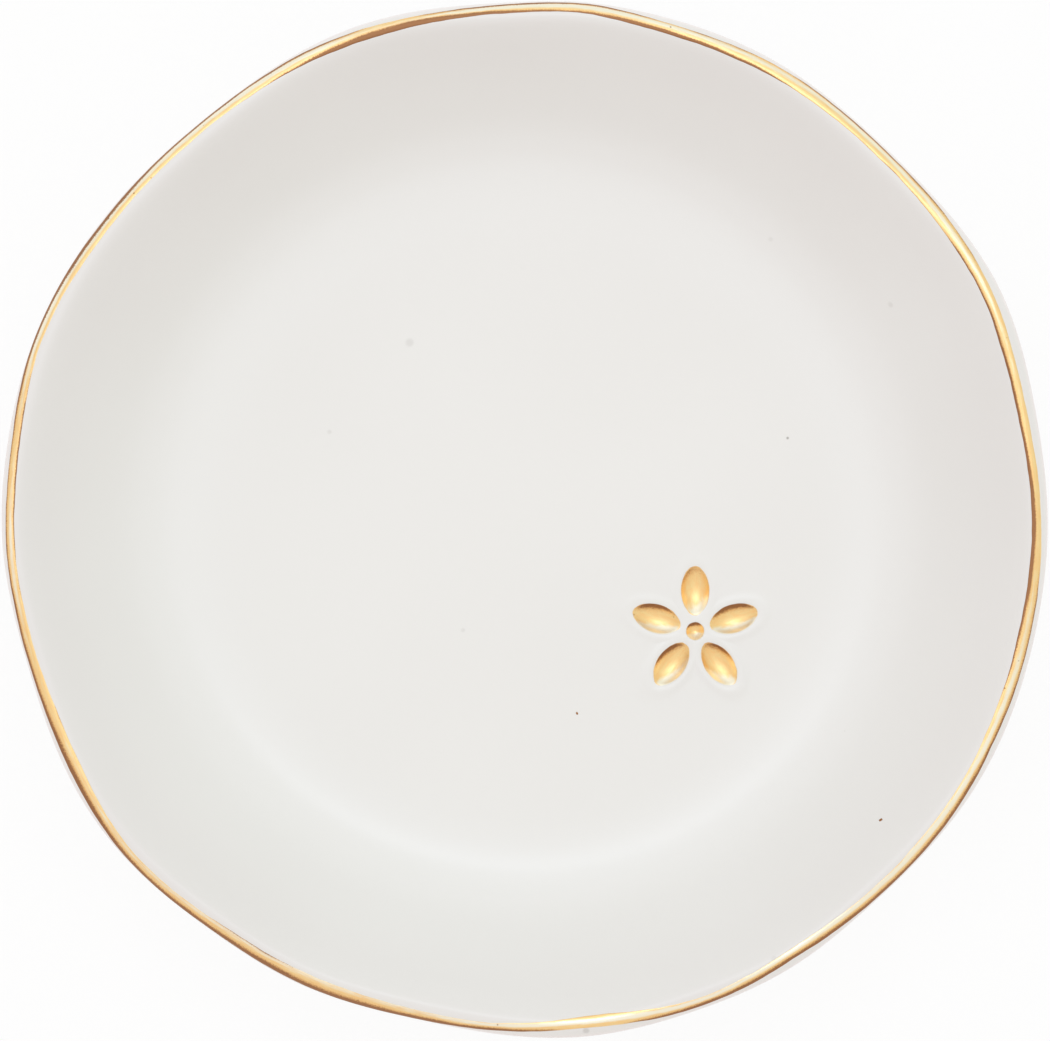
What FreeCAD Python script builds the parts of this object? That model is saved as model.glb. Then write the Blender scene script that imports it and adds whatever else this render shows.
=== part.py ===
import FreeCAD, Part
import math
import os

import Sketcher
from FreeCAD import Placement, Rotation, Vector

# A small ring dish: a slab of clay pressed by hand into a shallow round bowl, stamped, glazed white and
# gilded on the lip and in the stamp. It stands on a foot ring centred on the origin, with +Z up.

doc = FreeCAD.newDocument("ring_dish")

# Driving dimensions, in millimetres and degrees
sizes = {
    # outline
    "rim_radius": 49.9,
    "rim_stray": 0.86,
    "rim_height": 17.6,
    "rim_wave": 0.3,
    # slab
    "well_radius": 29.9,
    "floor_thickness": 3.3,
    "lip_thickness": 2.5,
    "lip_lean_angle": 60.0,
    # foot ring
    "foot_radius": 25.5,
    "foot_width": 2.6,
    "foot_height": 1.3,
    "foot_round": 0.5,
    # glaze
    "glaze_thickness": 0.35,
    "wax_margin": 1.2,
    # gilding
    "gilding_thickness": 0.2,
    "gilding_width": 1.14,
    "gilding_stray": 0.8,
    # stamped mark
    "mark_right": 16.7,
    "mark_down": 10.9,
    "mark_radius": 6.3,
    "petal_count": 5,
    "petal_length": 4.7,
    "petal_width": 2.7,
    "petal_depth": 0.8,
    "dot_width": 1.7,
    "dot_depth": 0.55,
}

sheet = doc.addObject("Spreadsheet::Sheet", "Sizes")
for row, (alias, value) in enumerate(sizes.items(), start=1):
    sheet.set(f"A{row}", alias)
    sheet.set(f"B{row}", str(value))
    sheet.setAlias(f"B{row}", alias)
doc.recompute()


def size(alias):
    return float(sheet.get(alias))


# The hand-formed rim, read anticlockwise from +X: angle in degrees, how far the outline strays outwards, how
# far the gilder's brush strays outwards on the lip, how wide its line is, and how far the lip lifts, each as
# a share of its size.
rim_shares = (
    (0, 0.33, -0.66, 0.85, 0.2),
    (12, 0.26, -0.97, 0.92, 0.5),
    (26, 0.83, -0.92, 1.0, 0.6),
    (46, -0.27, 0.03, 1.12, 0.0),
    (60, 0.11, -0.28, 1.1, -0.4),
    (76, 0.0, -0.36, 1.02, -0.6),
    (84, -0.12, 0.14, 1.0, -0.45),
    (92, -0.48, 0.12, 0.95, -0.2),
    (104, -0.18, -0.47, 1.0, 0.3),
    (116, -0.35, -0.1, 1.15, 0.4),
    (128, -0.98, 0.42, 1.05, 0.1),
    (144, -0.56, 0.3, 1.15, -0.3),
    (162, 0.06, 0.47, 0.95, -0.2),
    (171, 0.1, -0.25, 0.9, 0.05),
    (182, 0.12, -0.22, 0.88, 0.35),
    (196, -0.48, 0.04, 0.98, 0.7),
    (211, 0.1, -0.3, 1.12, 0.8),
    (221, 0.12, 0.36, 1.05, 0.5),
    (233, -0.57, 0.32, 1.18, 0.0),
    (244, -0.65, 0.2, 1.33, -0.5),
    (257, -1.12, 0.47, 1.16, -1.0),
    (268, -0.6, -0.15, 0.78, -0.7),
    (278, 0.02, -1.0, 1.02, -0.2),
    (290, -0.12, 0.02, 0.85, 0.3),
    (302, 0.1, -0.62, 0.95, 0.4),
    (312, -0.18, 0.12, 1.15, 0.1),
    (328, 0.42, -0.36, 1.0, -0.2),
    (345, 0.36, -0.5, 1.15, 0.0),
)
rim_angles = [math.radians(row[0]) for row in rim_shares]
full_turn = 2 * math.pi

# The slab's middle line from the edge of the flat well to the lip: share of the way out, share of the way up,
# share of the lip's lean, and how closely that part of the wall follows the wandering rim.
slab_shares = (
    (0.00, 0.00, 0.00, 0.00),
    (0.21, 0.00, 0.00, 0.00),
    (0.42, 0.155, 0.62, 0.12),
    (0.58, 0.305, 0.94, 0.32),
    (1.00, 1.00, 1.00, 1.00),
)

# The two points that round the lip's end, in shares of half its thickness: along the lean and to each side.
lip_end_share = 1.04
lip_corner_share = 0.66


def slab_section(coat):
    """Control points of the section, from the base over the lip to the well, coat deep outside the clay.

    Each point is its radius, its height and its share of the rim's wandering.
    """
    lip_half = size("lip_thickness") / 2
    floor_middle = size("foot_height") + size("floor_thickness") / 2
    lip_radius = size("rim_radius") - size("glaze_thickness") - lip_half
    lip_middle = size("rim_height") - size("glaze_thickness") - lip_half
    inside = []
    outside = []
    for out_share, up_share, lean_share, follow_share in slab_shares:
        radius = size("well_radius") + out_share * (lip_radius - size("well_radius"))
        height = floor_middle + up_share * (lip_middle - floor_middle)
        lean = math.radians(lean_share * size("lip_lean_angle"))
        thickness = size("floor_thickness") + up_share * (size("lip_thickness") - size("floor_thickness"))
        for side, across in ((inside, thickness / 2 + coat), (outside, -thickness / 2 - coat)):
            side.append((radius - across * math.sin(lean), height + across * math.cos(lean), follow_share))
    # the lip's round end, drawn by a narrower pair of points further along the lean
    along = lip_end_share * (lip_half + coat)
    corner = lip_corner_share * (lip_half + coat)
    for side, across in ((inside, corner), (outside, -corner)):
        end_radius = lip_radius + along * math.cos(lean) - across * math.sin(lean)
        end_height = lip_middle + along * math.sin(lean) + across * math.cos(lean)
        side.append((end_radius, end_height, follow_share))
    return outside + inside[::-1]


def closed_ring(points):
    """Smooth closed curve through one point per rim angle."""
    curve = Part.BSplineCurve()
    curve.interpolate(Points=points, PeriodicFlag=True, Parameters=rim_angles + [rim_angles[0] + full_turn])
    return curve


def wandering_ring(radius, height, follow_share):
    """Ring of the dish that follows the hand-formed rim by its share."""
    points = []
    for angle, (_, stray_share, _, _, wave_share) in zip(rim_angles, rim_shares):
        reach = radius + follow_share * stray_share * size("rim_stray")
        lift = height + follow_share * wave_share * size("rim_wave")
        points.append(Vector(reach * math.cos(angle), reach * math.sin(angle), lift))
    return closed_ring(points)


def skin(rings):
    """Surface whose control rows are the given closed rings: cubic across them, or straight across two."""
    first = rings[0]
    poles = [[ring.getPole(index) for ring in rings] for index in range(1, first.NbPoles + 1)]
    turns = (first.getMultiplicities(), first.getKnots())
    degree = min(3, len(rings) - 1)
    spans = len(rings) - degree
    knots = [step / spans for step in range(spans + 1)]
    multiplicities = [degree + 1] + [1] * (spans - 1) + [degree + 1]
    surface = Part.BSplineSurface()
    surface.buildFromPolesMultsKnots(
        poles, turns[0], multiplicities, turns[1], knots, True, False, first.Degree, degree
    )
    return surface


def quarter_faces(rings):
    """The skin over the given rings as four faces, one to each quarter turn."""
    faces = []
    for quarter in range(4):
        patch = skin(rings)
        patch.segment(quarter * full_turn / 4, (quarter + 1) * full_turn / 4, 0, 1)
        faces.append(patch.toShape())
    return faces


def level_face(faces, height):
    """Flat face inside the edges of the given faces that lie at one height."""
    edges = []
    for edge in (edge for face in faces for edge in face.Edges):
        if all(abs(vertex.Z - height) < Part.Precision.approximation() for vertex in edge.Vertexes):
            edges.append(edge)
    return Part.Face(Part.Wire(Part.__sortEdges__(edges)))


def closed_solid(faces):
    """Solid with the given faces as its whole outside."""
    shell = Part.makeShell(faces)
    shell.sewShape()
    solid = Part.makeSolid(shell)
    tolerance = Part.Precision.confusion()
    solid.fix(tolerance, tolerance, tolerance)
    return solid


def dish_rings(coat):
    """Rings of the surface that lies coat deep outside the clay, from the base over the lip to the well."""
    return [wandering_ring(*point) for point in slab_section(coat)]


def dish_blank(name, coat):
    """The dish without foot and stamp: the skin coat deep outside the clay, with a flat well and base."""
    wall = quarter_faces(dish_rings(coat))
    well = level_face(wall, size("foot_height") + size("floor_thickness") + coat)
    base = level_face(wall, size("foot_height") - coat)
    blank = doc.addObject("Part::Feature", name)
    blank.Shape = closed_solid([*wall, well, base])
    blank.Placement = Placement()
    return blank


def origin_plane(body, role):
    return next(feature for feature in body.Origin.OriginFeatures if feature.Role == role)


def attached_sketch(body, name, role):
    """Empty sketch on one of the body's own origin planes."""
    sketch = body.newObject("Sketcher::SketchObject", name)
    sketch.AttachmentSupport = [(origin_plane(body, role), "")]
    sketch.MapMode = "FlatFace"
    return sketch


def bind(sketch, kind, *geometry, formula):
    """Dimension in a sketch that follows a formula of the sheet's sizes."""
    value = float(sketch.evalExpression(formula))
    index = sketch.addConstraint(Sketcher.Constraint(kind, *geometry, value))
    sketch.setExpression(f"Constraints[{index}]", formula)


def foot_ring():
    """Foot ring: a turned ring with two rounded edges on the table, let into the floor above it."""
    body = doc.addObject("PartDesign::Body", "foot_ring")
    sketch = attached_sketch(body, "foot_section", "XZ_Plane")
    inner = size("foot_radius") - size("foot_width")
    outer = size("foot_radius")
    top = size("foot_height") + size("floor_thickness") / 2
    corners = [Vector(inner, 0, 0), Vector(outer, 0, 0), Vector(outer, top, 0), Vector(inner, top, 0)]
    for start, end in zip(corners, corners[1:] + corners[:1]):
        sketch.addGeometry(Part.LineSegment(start, end))
    for line in range(4):
        sketch.addConstraint(Sketcher.Constraint("Coincident", line, 2, (line + 1) % 4, 1))
    for line in (0, 2):
        sketch.addConstraint(Sketcher.Constraint("Horizontal", line))
    for line in (1, 3):
        sketch.addConstraint(Sketcher.Constraint("Vertical", line))
    sketch.addConstraint(Sketcher.Constraint("PointOnObject", 0, 1, -1))
    bind(sketch, "DistanceX", -1, 1, 0, 2, formula="Sizes.foot_radius")
    bind(sketch, "DistanceX", 0, 1, 0, 2, formula="Sizes.foot_width")
    bind(sketch, "DistanceY", 1, 1, 1, 2, formula="Sizes.foot_height + Sizes.floor_thickness / 2")
    turn = body.newObject("PartDesign::Revolution", "foot_turn")
    turn.Profile = sketch
    turn.ReferenceAxis = (sketch, ["V_Axis"])
    turn.Angle = math.degrees(full_turn)
    doc.recompute()
    table_edges = [
        f"Edge{number}"
        for number, edge in enumerate(turn.Shape.Edges, start=1)
        if edge.BoundBox.ZMax < size("foot_height") / 2
    ]
    rounding = body.newObject("PartDesign::Fillet", "foot_rounding")
    rounding.Base = (turn, table_edges)
    rounding.setExpression("Radius", "Sizes.foot_round")
    body.Tip = rounding
    return body


# A petal of the stamp is the side of a spindle: its long section is an arc petal_length long and petal_depth
# deep, and its cross section an arc petal_width wide and as deep.
petal_arc = "((Sizes.petal_length / 2) ^ 2 + Sizes.petal_depth ^ 2) / (2 * Sizes.petal_depth)"
spindle_radius = "((Sizes.petal_width / 2) ^ 2 + Sizes.petal_depth ^ 2) / (2 * Sizes.petal_depth)"
dot_radius = "((Sizes.dot_width / 2) ^ 2 + Sizes.dot_depth ^ 2) / (2 * Sizes.dot_depth)"
petal_middle = "Sizes.mark_radius - Sizes.petal_length / 2"
glaze_top = "Sizes.foot_height + Sizes.floor_thickness + Sizes.glaze_thickness"


def mark_die(name, coat):
    """Stamp of petals about a dot, held over its place in the well, coat larger than the finished mark."""
    body = doc.addObject("PartDesign::Body", name)
    body.AllowCompound = True
    sketch = attached_sketch(body, f"{name}_petal", "XZ_Plane")
    middle = size("mark_radius") - size("petal_length") / 2
    half = size("petal_length") / 2
    crown = size("petal_depth")
    sketch.addGeometry(
        Part.Arc(Vector(middle + half, 0, 0), Vector(middle, crown, 0), Vector(middle - half, 0, 0))
    )
    sketch.addGeometry(Part.LineSegment(Vector(middle - half, 0, 0), Vector(middle + half, 0, 0)))
    sketch.addConstraint(Sketcher.Constraint("Coincident", 0, 2, 1, 1))
    sketch.addConstraint(Sketcher.Constraint("Coincident", 1, 2, 0, 1))
    for end in (1, 2):
        sketch.addConstraint(Sketcher.Constraint("PointOnObject", 1, end, -1))
    bind(sketch, "Radius", 0, formula=f"{petal_arc} + {coat}")
    bind(sketch, "DistanceX", -1, 1, 0, 3, formula=petal_middle)
    bind(sketch, "DistanceY", 0, 3, -1, 1, formula=f"{petal_arc} - {spindle_radius}")
    petal = body.newObject("PartDesign::Revolution", f"{name}_spindle")
    petal.Profile = sketch
    petal.ReferenceAxis = (sketch, ["H_Axis"])
    petal.Angle = math.degrees(full_turn)
    flower = body.newObject("PartDesign::PolarPattern", f"{name}_flower")
    flower.Originals = [petal]
    flower.Axis = (origin_plane(body, "Z_Axis"), [""])
    flower.Angle = math.degrees(full_turn)
    flower.setExpression("Occurrences", "Sizes.petal_count")
    body.Tip = flower
    doc.recompute()
    dot = body.newObject("PartDesign::AdditiveSphere", f"{name}_dot")
    dot.setExpression("Radius", f"{dot_radius} + {coat}")
    dot.setExpression(
        "Placement.Base.z", f"{dot_radius} - Sizes.dot_depth - ({spindle_radius} - Sizes.petal_depth)"
    )
    body.Tip = dot
    body.Placement = Placement(Vector(), Rotation(Vector(0, 0, 1), math.degrees(full_turn / 4)))
    body.setExpression("Placement.Base.x", "Sizes.mark_right")
    body.setExpression("Placement.Base.y", "-Sizes.mark_down")
    body.setExpression("Placement.Base.z", f"{glaze_top} + {spindle_radius} - Sizes.petal_depth")
    return body


def combined(kind, name, base, tool):
    """Boolean of two objects of the document."""
    result = doc.addObject(kind, name)
    result.Base = base
    result.Tool = tool
    return result


# Clay: the slab on its foot ring, stamped deep enough to leave room for the glaze
clay_blank = dish_blank("clay_blank", 0)
clay_stamp = mark_die("clay_stamp", "Sizes.glaze_thickness")
footed_clay = combined("Part::Fuse", "footed_clay", clay_blank, foot_ring())
clay_body = combined("Part::Cut", "clay_body", footed_clay, clay_stamp)

# Glaze: an even coat over the clay, stamped with it and kept off the foot by wax
glaze_blank = dish_blank("glaze_blank", size("glaze_thickness"))
glaze_stamp = mark_die("glaze_stamp", "0")
waxed_foot = doc.addObject("Part::Cylinder", "waxed_foot")
waxed_foot.setExpression("Radius", "Sizes.foot_radius + Sizes.wax_margin")
waxed_foot.setExpression("Height", "Sizes.foot_height + Sizes.floor_thickness / 2")
clear_of_wax = combined("Part::Cut", "clear_of_wax", glaze_blank, waxed_foot)
clear_of_clay = combined("Part::Cut", "clear_of_clay", clear_of_wax, clay_body)
glaze_coat = combined("Part::Cut", "glaze_coat", clear_of_clay, glaze_stamp)

# Glaze inside the foot ring: a disc under the floor, short of the ring by the waxed margin
base_glaze = doc.addObject("Part::Cylinder", "base_glaze")
base_glaze.setExpression("Radius", "Sizes.foot_radius - Sizes.foot_width - Sizes.wax_margin")
base_glaze.setExpression("Height", "Sizes.glaze_thickness")
base_glaze.setExpression("Placement.Base.z", "Sizes.foot_height - Sizes.glaze_thickness")


def gilding_rings(coat):
    """Rings across the painted line, on the surface that lies coat deep outside the clay."""
    surface = skin(dish_rings(coat))
    lip_tip_share = 0.5
    across_shares = (-0.5, -0.25, 0.0, 0.25, 0.5)
    speed = surface.getDN(rim_angles[0], lip_tip_share, 0, 1).Length
    rings = []
    for across_share in across_shares:
        points = []
        for angle, (_, _, brush_share, width_share, _) in zip(rim_angles, rim_shares):
            width = width_share * size("gilding_width")
            travel = across_share * width + brush_share * size("gilding_stray")
            points.append(surface.value(angle, lip_tip_share - travel / speed))
        rings.append(closed_ring(points))
    return rings


def rim_gilding():
    """Painted line along the lip: a thin wandering strip that the glaze trims to its own surface."""
    under = gilding_rings(size("glaze_thickness") / 2)
    over = gilding_rings(size("glaze_thickness") + size("gilding_thickness"))
    around = (under, [under[-1], over[-1]], over[::-1], [over[0], under[0]])
    faces = [face for rings in around for face in quarter_faces(rings)]
    strip = doc.addObject("Part::Feature", "gilding_strip")
    strip.Shape = closed_solid(faces)
    strip.Placement = Placement()
    return combined("Part::Cut", "rim_gilding", strip, glaze_blank)


rim_line = rim_gilding()

# Gilding in the mark: the hollow that the finished stamp leaves in the well, less a stamp one gilding smaller
under_well = doc.addObject("Part::Cylinder", "under_well")
under_well.setExpression("Radius", "Sizes.mark_radius + Sizes.petal_width")
under_well.setExpression("Height", "Sizes.petal_depth + Sizes.dot_depth")
under_well.setExpression("Placement.Base.x", "Sizes.mark_right")
under_well.setExpression("Placement.Base.y", "-Sizes.mark_down")
under_well.setExpression("Placement.Base.z", f"{glaze_top} - Sizes.petal_depth - Sizes.dot_depth")
gilding_stamp = mark_die("gilding_stamp", "-Sizes.gilding_thickness")
mark_hollow = combined("Part::Common", "mark_hollow", glaze_stamp, under_well)
mark_gilding = combined("Part::Cut", "mark_gilding", mark_hollow, gilding_stamp)

doc.recompute()

for item in doc.Objects:
    if "Invalid" in item.State or "Error" in item.State:
        raise RuntimeError(f"{item.Label} failed: {item.State}")

sub_parts = (clay_body, glaze_coat, base_glaze, rim_line, mark_gilding)
for item in sub_parts:
    if item.Shape.isNull() or not item.Shape.isValid():
        raise RuntimeError(f"{item.Label} has no valid shape")

os.makedirs("parts", exist_ok=True)
for item in sub_parts:
    item.Shape.exportStep(f"parts/{item.Label}.step")
    print(f"{item.Label}: {len(item.Shape.Solids)} solids, {item.Shape.Volume:.2f} mm3")
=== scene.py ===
import bpy
import numpy as np
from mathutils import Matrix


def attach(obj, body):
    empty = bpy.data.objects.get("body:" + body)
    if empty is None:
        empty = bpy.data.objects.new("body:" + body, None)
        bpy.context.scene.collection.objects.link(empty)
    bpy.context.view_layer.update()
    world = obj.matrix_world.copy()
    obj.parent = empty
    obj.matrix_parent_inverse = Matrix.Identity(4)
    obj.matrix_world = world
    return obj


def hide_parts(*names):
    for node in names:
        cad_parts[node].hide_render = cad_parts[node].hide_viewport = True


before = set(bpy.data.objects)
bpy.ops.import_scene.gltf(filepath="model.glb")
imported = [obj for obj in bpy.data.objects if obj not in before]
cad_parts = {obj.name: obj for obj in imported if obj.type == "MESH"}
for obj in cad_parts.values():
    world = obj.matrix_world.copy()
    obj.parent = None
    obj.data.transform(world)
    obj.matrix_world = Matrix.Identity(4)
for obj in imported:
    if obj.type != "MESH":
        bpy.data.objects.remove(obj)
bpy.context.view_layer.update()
scene = bpy.context.scene
mm = 0.001                                   # shapes are worked out in millimetres
fullTurn = 2 * np.pi
hand = np.random.default_rng(26)             # the maker's hand: every wobble below comes from this seed
print("frame loaded:", ", ".join(sorted(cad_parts)))

# the dish in millimetres and degrees, the same sizes as the solids
dish = {
    "rimRadius": 49.9, "rimStray": 0.86, "rimHeight": 17.6, "rimWave": 0.3,
    "wellRadius": 29.9, "floorThickness": 3.3, "lipThickness": 2.5, "lipLean": 60.0,
    "lipEnd": 1.04, "lipCorner": 0.66, "footHeight": 1.3, "glaze": 0.35,
}

# rim read anticlockwise from +X: angle, outline stray, lip lift, brush stray, brush width
rimTable = np.array([
    (0, 0.33, 0.2, -0.66, 0.85), (12, 0.26, 0.5, -0.97, 0.92), (26, 0.83, 0.6, -0.92, 1.0),
    (46, -0.27, 0.0, 0.03, 1.12), (60, 0.11, -0.4, -0.28, 1.1), (76, 0.0, -0.6, -0.36, 1.02),
    (84, -0.12, -0.45, 0.14, 1.0), (92, -0.48, -0.2, 0.12, 0.95), (104, -0.18, 0.3, -0.47, 1.0),
    (116, -0.35, 0.4, -0.1, 1.15), (128, -0.98, 0.1, 0.42, 1.05), (144, -0.56, -0.3, 0.3, 1.15),
    (162, 0.06, -0.2, 0.47, 0.95), (171, 0.1, 0.05, -0.25, 0.9), (182, 0.12, 0.35, -0.22, 0.88),
    (196, -0.48, 0.7, 0.04, 0.98), (211, 0.1, 0.8, -0.3, 1.12), (221, 0.12, 0.5, 0.36, 1.05),
    (233, -0.57, 0.0, 0.32, 1.18), (244, -0.65, -0.5, 0.2, 1.33), (257, -1.12, -1.0, 0.47, 1.16),
    (268, -0.6, -0.7, -0.15, 0.78), (278, 0.02, -0.2, -1.0, 1.02), (290, -0.12, 0.3, 0.02, 0.85),
    (302, 0.1, 0.4, -0.62, 0.95), (312, -0.18, 0.1, 0.12, 1.15), (328, 0.42, -0.2, -0.36, 1.0),
    (345, 0.36, 0.0, -0.5, 1.15),
])

# slab from the well's edge to the lip: share out, share up, share of the lean, share of the rim's stray
slabTable = np.array([
    (0.00, 0.00, 0.00, 0.00), (0.21, 0.00, 0.00, 0.00), (0.42, 0.155, 0.62, 0.12),
    (0.58, 0.305, 0.94, 0.32), (1.00, 1.00, 1.00, 1.00),
])


# closed cubic spline round the rim: passes through one value per station, its slope and bend carried over
# the start of the turn, from the ring of equations for the bends
def aroundRim(values):
    start = np.radians(rimTable[:, 0])
    step = np.diff(start, append=start[0] + fullTurn)
    before = np.roll(step, 1)
    slope = (np.roll(values, -1) - values) / step
    eye = np.eye(len(start))
    ring = (2 * (before + step))[:, None] * eye
    ring += before[:, None] * np.roll(eye, -1, 1) + step[:, None] * np.roll(eye, 1, 1)
    bend = np.linalg.solve(ring, 6 * (slope - np.roll(slope, 1)))

    def at(theta):
        theta = np.mod(theta, fullTurn)
        i = np.searchsorted(start, theta, side="right") - 1
        j = (i + 1) % len(start)
        t = (theta - start[i]) / step[i]
        s = 1 - t
        curve = (s ** 3 - s) * bend[i] + (t ** 3 - t) * bend[j]
        return s * values[i] + t * values[j] + step[i] ** 2 / 6 * curve

    return at


# tremble of a hand going round once: sine waves of whole turns with random starts, fading as they get finer
def tremble(reach, slowest, finest, count=14, fade=0.6):
    turns = np.unique(np.geomspace(slowest, finest, count).astype(int))
    phases = hand.uniform(0, fullTurn, len(turns))
    sizes = (turns / slowest) ** -fade
    sizes *= reach / np.sqrt((sizes ** 2).sum() / 2)
    return lambda theta: (sizes * np.sin(np.asarray(theta)[..., None] * turns + phases)).sum(-1)


# 0 below low, 1 above high, the smooth cubic between
def ease(value, low, high):
    t = np.clip((value - low) / (high - low), 0, 1)
    return t * t * (3 - 2 * t)


# bell curve: 1 at its place, the exponential of minus the squared distance from it in spreads
def bell(value, place, spread):
    return np.exp(-((value - place) / spread) ** 2)


# so many even steps from 0 up to an end, without the 0
def upTo(end, count):
    return np.linspace(0, end, count + 1)[1:]


# values that run through the stops in even steps, so many for each stretch, no stop twice
def evenSteps(stops, counts):
    legs = [np.linspace(*leg) for leg in zip(stops, stops[1:], counts)]
    return np.concatenate(legs[:1] + [leg[1:] for leg in legs[1:]])


# points round the turn: radius times cosine and sine of theta, at a height
def atTurn(radius, theta, height):
    height = np.broadcast_to(height, radius.shape)
    return np.stack([radius * np.cos(theta), radius * np.sin(theta), height], -1)


outlineStray = aroundRim(rimTable[:, 1] * dish["rimStray"])
lipLift = aroundRim(rimTable[:, 2] * dish["rimWave"])


# section of the slab a coat outside the clay: control points from the base edge over the lip to the well edge,
# each half a thickness and a coat to either side of the middle line; columns are radius, height, rim share
def sectionPoints(coat):
    lipHalf = dish["lipThickness"] / 2
    floorMiddle = dish["footHeight"] + dish["floorThickness"] / 2
    lipRadius = dish["rimRadius"] - dish["glaze"] - lipHalf
    lipMiddle = dish["rimHeight"] - dish["glaze"] - lipHalf
    out, up, leanShare, follow = slabTable.T
    radius = dish["wellRadius"] + out * (lipRadius - dish["wellRadius"])
    height = floorMiddle + up * (lipMiddle - floorMiddle)
    lean = np.radians(leanShare * dish["lipLean"])
    half = (dish["floorThickness"] + up * (dish["lipThickness"] - dish["floorThickness"])) / 2 + coat
    along = dish["lipEnd"] * (lipHalf + coat)
    corner = dish["lipCorner"] * (lipHalf + coat)

    def side(sign):
        face = np.stack([radius - sign * half * np.sin(lean), height + sign * half * np.cos(lean), follow], 1)
        tip = (lipRadius + along * np.cos(lean[-1]) - sign * corner * np.sin(lean[-1]),
               lipMiddle + along * np.sin(lean[-1]) + sign * corner * np.cos(lean[-1]), 1)
        return np.vstack([face, tip])

    return np.vstack([side(-1), side(1)[::-1]])


bareSection = sectionPoints(0)
coatSection = sectionPoints(1) - bareSection  # what each millimetre of coat adds


# weights of a clamped cubic B-spline at v, one per control point, by the Cox-de Boor steps
def splineWeights(v, count):
    knots = np.concatenate([np.zeros(3), np.linspace(0, 1, count - 2), np.ones(3)])
    v = np.clip(np.asarray(v, float), 0, 1 - 1e-12)[..., None]
    weights = ((knots[:-1] <= v) & (v < knots[1:])).astype(float)
    for degree in (1, 2, 3):
        rise = np.maximum(knots[degree:-1] - knots[:-degree - 1], 1e-9)
        fall = np.maximum(knots[degree + 1:] - knots[1:-degree], 1e-9)
        weights = ((v - knots[:-degree - 1]) / rise * weights[..., :-1]
                   + (knots[degree + 1:] - v) / fall * weights[..., 1:])
    return weights


# dish surface: radius and height from the section's spline at v (0 base edge, 0.5 lip, 1 well edge), plus the
# outline's stray and the lip's lift at theta by that point's share of the rim
def dishSurface(theta, v, coat):
    weights = splineWeights(v, len(bareSection))
    radius, height, follow = np.moveaxis(weights @ bareSection, -1, 0)
    wider, higher, _ = np.moveaxis(weights @ coatSection, -1, 0)
    radius = radius + coat * wider + follow * outlineStray(theta)
    height = height + coat * higher + follow * lipLift(theta)
    return atTurn(radius, theta, height)


coatWave = {"reach": 0.035, "longest": 46.0, "shortest": 15.0, "count": 9}
waveAim = hand.normal(size=(coatWave["count"], 3)) * (1, 1, 0.6)
waveAim /= np.linalg.norm(waveAim, axis=1)[:, None]
waveAim *= fullTurn / np.geomspace(coatWave["longest"], coatWave["shortest"], coatWave["count"])[:, None]
wavePhase = hand.uniform(0, fullTurn, coatWave["count"])


# slow unevenness of the dipped coat: plane sine waves through space, added up
def coatUneven(points):
    waves = np.sin(points @ waveAim.T + wavePhase).sum(-1)
    return coatWave["reach"] * waves * np.sqrt(2 / coatWave["count"])


# stamped flower in the well: places and sizes as in the solids, then how glaze softens it
stamp = {
    "right": 16.7, "down": 10.9, "radius": 6.3, "petals": 5, "petalLength": 4.7, "petalWidth": 2.7,
    "petalDepth": 0.8, "dotWidth": 1.7, "dotDepth": 0.55, "soften": 0.075, "reach": 7.4,
    "pillow": 0.17, "pillowAim": -72.0, "pillowLean": 0.35, "pillowPlace": 1.28, "pillowSpread": 0.3,
    "pillowCore": 0.5,
}
stampPlace = np.array([stamp["right"], -stamp["down"]])
wellTop = dish["footHeight"] + dish["floorThickness"] + dish["glaze"]
petalTurns = fullTurn * (np.arange(stamp["petals"]) / stamp["petals"] + 0.25)


# radius of the arc that is so wide and so deep
def arcRadius(width, depth):
    return ((width / 2) ** 2 + depth ** 2) / (2 * depth)


petalArc = arcRadius(stamp["petalLength"], stamp["petalDepth"])
petalGirth = arcRadius(stamp["petalWidth"], stamp["petalDepth"])
dotBall = arcRadius(stamp["dotWidth"], stamp["dotDepth"])
petalMiddle = stamp["radius"] - stamp["petalLength"] / 2


# position in each petal's own directions: along it from its middle, and across it
def petalPlace(x, y):
    x, y = x[..., None], y[..., None]
    along = x * np.cos(petalTurns) + y * np.sin(petalTurns) - petalMiddle
    across = y * np.cos(petalTurns) - x * np.sin(petalTurns)
    return along, across


# half width of the spindle that presses a petal: an arc over the petal's length
def spindle(along):
    return np.maximum(np.sqrt(np.maximum(petalArc ** 2 - along ** 2, 0)) - petalArc + petalGirth, 0)


# stamp relief about the stamp's middle: the deepest spindle or the ball of the dot below the well, softened
# where it meets the well, plus the low pillow of clay that the stamp pushed up round it
def stampRelief(x, y):
    along, across = petalPlace(x, y)
    petal = np.sqrt(np.maximum(spindle(along) ** 2 - across ** 2, 0)) - petalGirth + stamp["petalDepth"]
    dot = np.sqrt(np.maximum(dotBall ** 2 - x ** 2 - y ** 2, 0)) - dotBall + stamp["dotDepth"]
    depth = np.maximum(petal.max(-1), dot)
    nearest = np.hypot(along / (stamp["petalLength"] / 2), across / (stamp["petalWidth"] / 2)).min(-1)
    aim = np.radians(stamp["pillowAim"])
    towards = (x * np.cos(aim) + y * np.sin(aim)) / np.maximum(np.hypot(x, y), stamp["pillowCore"])
    lean = 1 - stamp["pillowLean"] + stamp["pillowLean"] * towards
    pillow = stamp["pillow"] * lean * bell(nearest, stamp["pillowPlace"], stamp["pillowSpread"])
    return pillow - stamp["soften"] * np.log1p(np.exp(depth / stamp["soften"]))


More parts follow.
